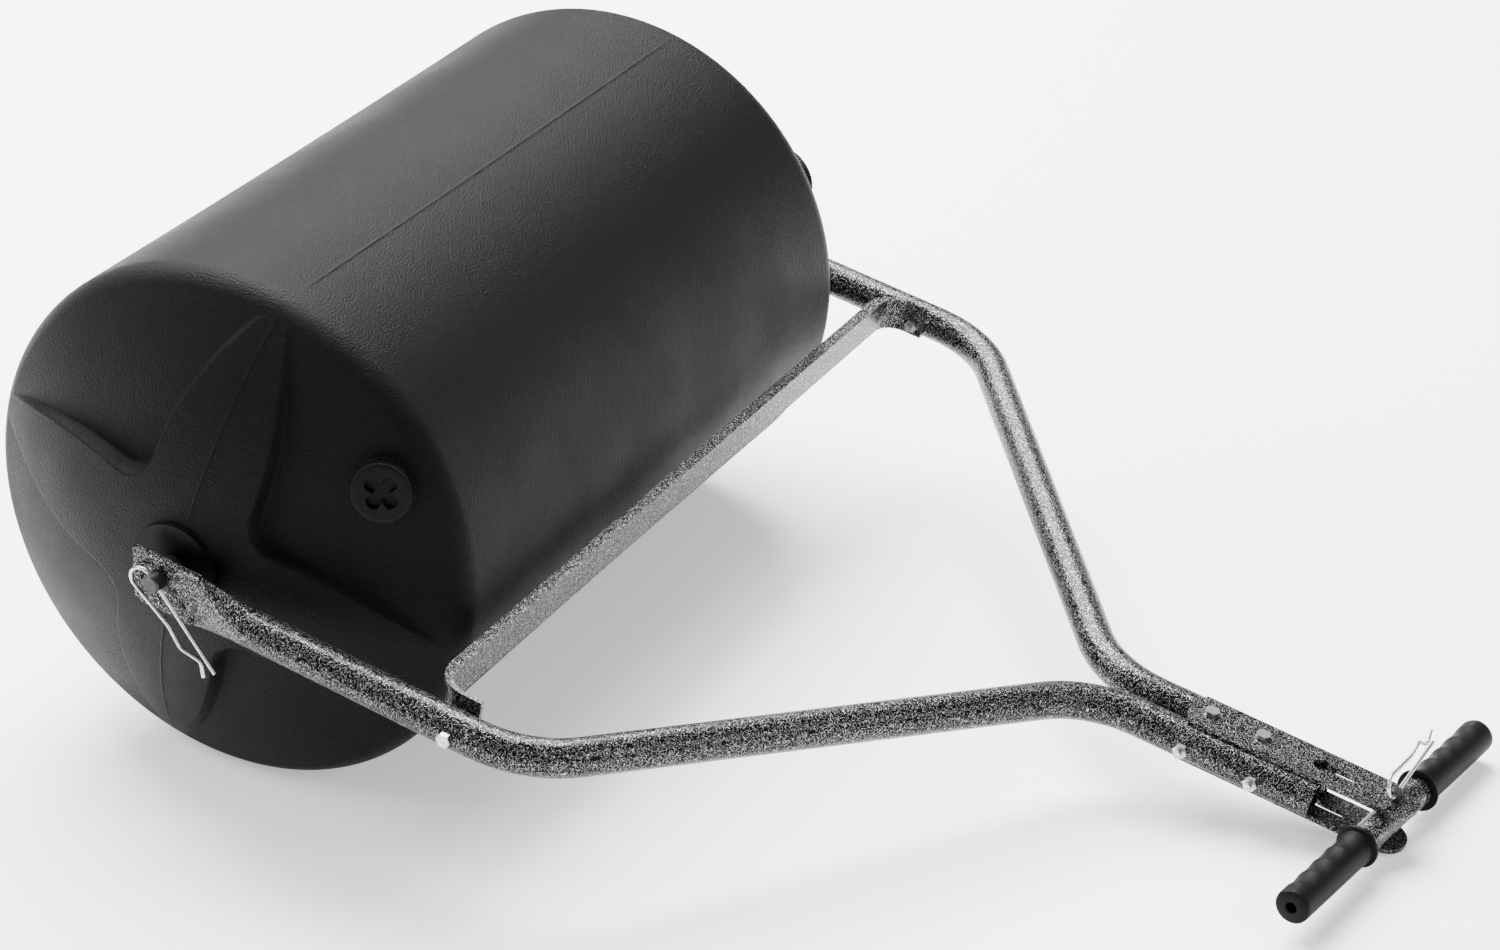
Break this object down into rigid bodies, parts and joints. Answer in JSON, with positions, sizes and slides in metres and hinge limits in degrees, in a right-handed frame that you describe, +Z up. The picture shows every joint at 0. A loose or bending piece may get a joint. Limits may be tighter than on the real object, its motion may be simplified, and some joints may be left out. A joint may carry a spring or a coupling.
{
  "type": "lawn_roller",
  "caption": "Water-filled lawn roller with a hollow moulded drum, bent tube frame, cross brace, plate hitch and swinging crossbar handle",
  "frame": {"origin": "on the floor under the middle of the roller, with the drum and the hitch pin's head resting on it", "axes": "+X from the drum to the handle, +Y to the roller's left, +Z up"},
  "size_m": [1.1554, 0.8722, 0.4571],
  "materials": {
    "moulded_plastic": "black moulded polyethylene with a fine pebble grain",
    "hammertone_paint": "black and silver hammered enamel",
    "zinc_plate": "bright zinc plating",
    "plain_steel": "drawn steel, lightly oiled",
    "grip_vinyl": "soft black vinyl",
    "seal_rubber": "black sealing rubber",
    "plug_plastic": "satin black nylon",
    "bushing_plastic": "dark acetal"
  },
  "bodies": {
    "frame": {"axle": "plain_steel", "right_axle_spacer": "plain_steel", "left_axle_spacer": "plain_steel", "right_frame_tube": "hammertone_paint", "left_frame_tube": "hammertone_paint", "cross_brace": "hammertone_paint", "upper_hitch_plate": "hammertone_paint", "lower_hitch_plate": "hammertone_paint", "brace_bolts": "zinc_plate", "brace_nuts": "zinc_plate", "tongue_bolts": "zinc_plate", "tongue_nuts": "zinc_plate", "plate_bolts": "zinc_plate", "plate_nuts": "zinc_plate"},
    "drum": {"drum_shell": "moulded_plastic", "right_hub_bushing": "bushing_plastic", "left_hub_bushing": "bushing_plastic"},
    "right_seal": {"right_plug_seal": "seal_rubber"},
    "right_plug": {"right_fill_plug": "plug_plastic"},
    "left_seal": {"left_plug_seal": "seal_rubber"},
    "left_plug": {"left_fill_plug": "plug_plastic"},
    "right_axle_pin_clip": {"right_axle_clip": "zinc_plate"},
    "left_axle_pin_clip": {"left_axle_clip": "zinc_plate"},
    "pin": {"hitch_pin": "plain_steel"},
    "pin_clip": {"hitch_clip": "zinc_plate"},
    "handle": {"handle_bar": "hammertone_paint", "right_grip": "grip_vinyl", "left_grip": "grip_vinyl"}
  },
  "joints": [
    {"name": "drum_axle", "type": "hinge", "parent": "frame", "child": "drum", "pos_m": [-0.34936, 0, 0.2286], "axis": [0, 1, 0], "continuous": true},
    {"name": "right_plug_lift", "type": "slide", "parent": "drum", "child": "right_seal", "axis": [0.3586, -0.9158, 0.1811], "range_m": [0, 0.012]},
    {"name": "right_plug_turn", "type": "hinge", "parent": "right_seal", "child": "right_plug", "pos_m": [-0.18113, -0.3426, 0.31358], "axis": [0.3586, -0.9158, 0.1811], "range_deg": [0, 1440]},
    {"name": "left_plug_lift", "type": "slide", "parent": "drum", "child": "left_seal", "axis": [0.3586, 0.9158, 0.1811], "range_m": [0, 0.012]},
    {"name": "left_plug_turn", "type": "hinge", "parent": "left_seal", "child": "left_plug", "pos_m": [-0.18113, 0.3426, 0.31358], "axis": [0.3586, 0.9158, 0.1811], "range_deg": [0, 1440]},
    {"name": "right_axle_clip_pull", "type": "slide", "parent": "frame", "child": "right_axle_pin_clip", "axis": [-0.5878, 0, 0.809], "range_m": [0, 0.055]},
    {"name": "left_axle_clip_pull", "type": "slide", "parent": "frame", "child": "left_axle_pin_clip", "axis": [-0.5878, 0, 0.809], "range_m": [0, 0.055]},
    {"name": "hitch_pin_turn", "type": "hinge", "parent": "frame", "child": "pin", "pos_m": [0.54233, 0, 0.02604], "axis": [0.2162, 0, 0.9764], "continuous": true},
    {"name": "hitch_clip_pull", "type": "slide", "parent": "pin", "child": "pin_clip", "axis": [0, -1, 0], "range_m": [0, 0.055]},
    {"name": "handle_swing", "type": "hinge", "parent": "frame", "child": "handle", "pos_m": [0.54233, 0, 0.02604], "axis": [0.2162, 0, 0.9764], "range_deg": [-32.6, 47.4]}
  ],
  "couplings": [
    {"joint": "right_plug_lift", "follows": "right_plug_turn", "m_per_rad": 0.00047746},
    {"joint": "left_plug_lift", "follows": "left_plug_turn", "m_per_rad": 0.00047746}
  ]
}
